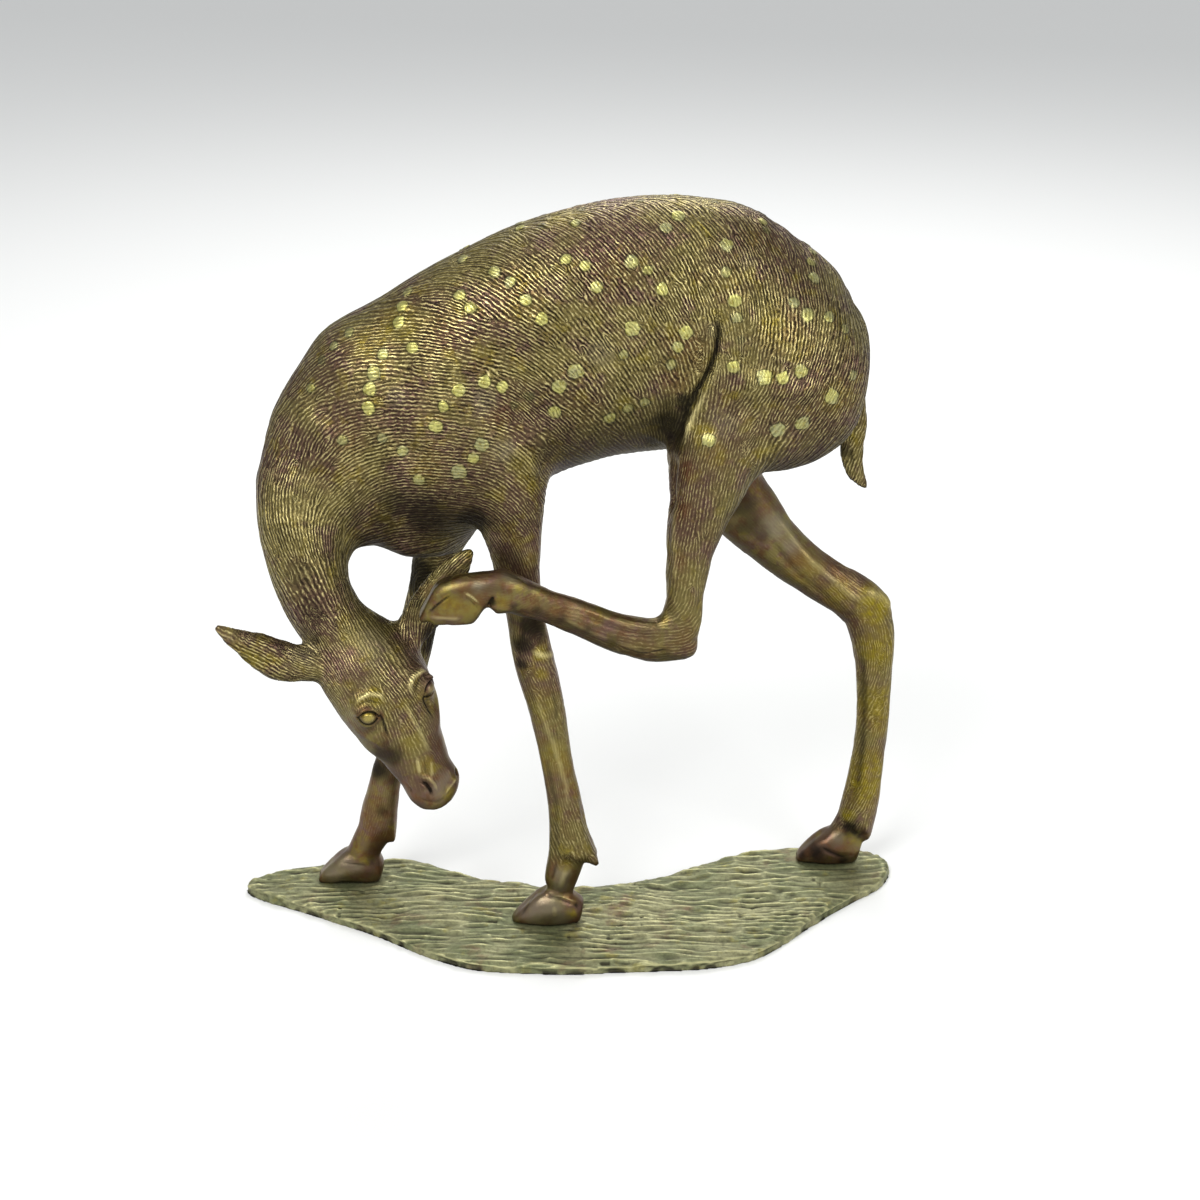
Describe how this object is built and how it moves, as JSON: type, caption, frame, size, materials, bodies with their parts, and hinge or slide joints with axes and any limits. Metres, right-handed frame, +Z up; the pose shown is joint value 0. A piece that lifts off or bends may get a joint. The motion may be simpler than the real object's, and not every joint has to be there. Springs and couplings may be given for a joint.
{
  "type": "bronze deer sculpture",
  "caption": "Bronze sculpture of a standing spotted fawn that bends its head down and back to scratch an ear with a raised hind hoof, cast on a low rippled ground plate.",
  "frame": {"origin": "centre of the bounding box at the underside of the ground plate", "axes": "+Z up, +X towards the deer's rump, -X the side its neck bends down on, -Y the side of the raised hind leg"},
  "size_m": [0.706, 0.2708, 0.7704],
  "materials": {
    "deer_bronze": "cast bronze with a dark olive-brown patina, rubbed yellow on the raised fur strokes and spots",
    "plate_bronze": "cast bronze with a dull grey-green patina and dark hollows"
  },
  "bodies": {
    "root": {"deer": "deer_bronze", "ground_plate": "plate_bronze"}
  },
  "joints": []
}
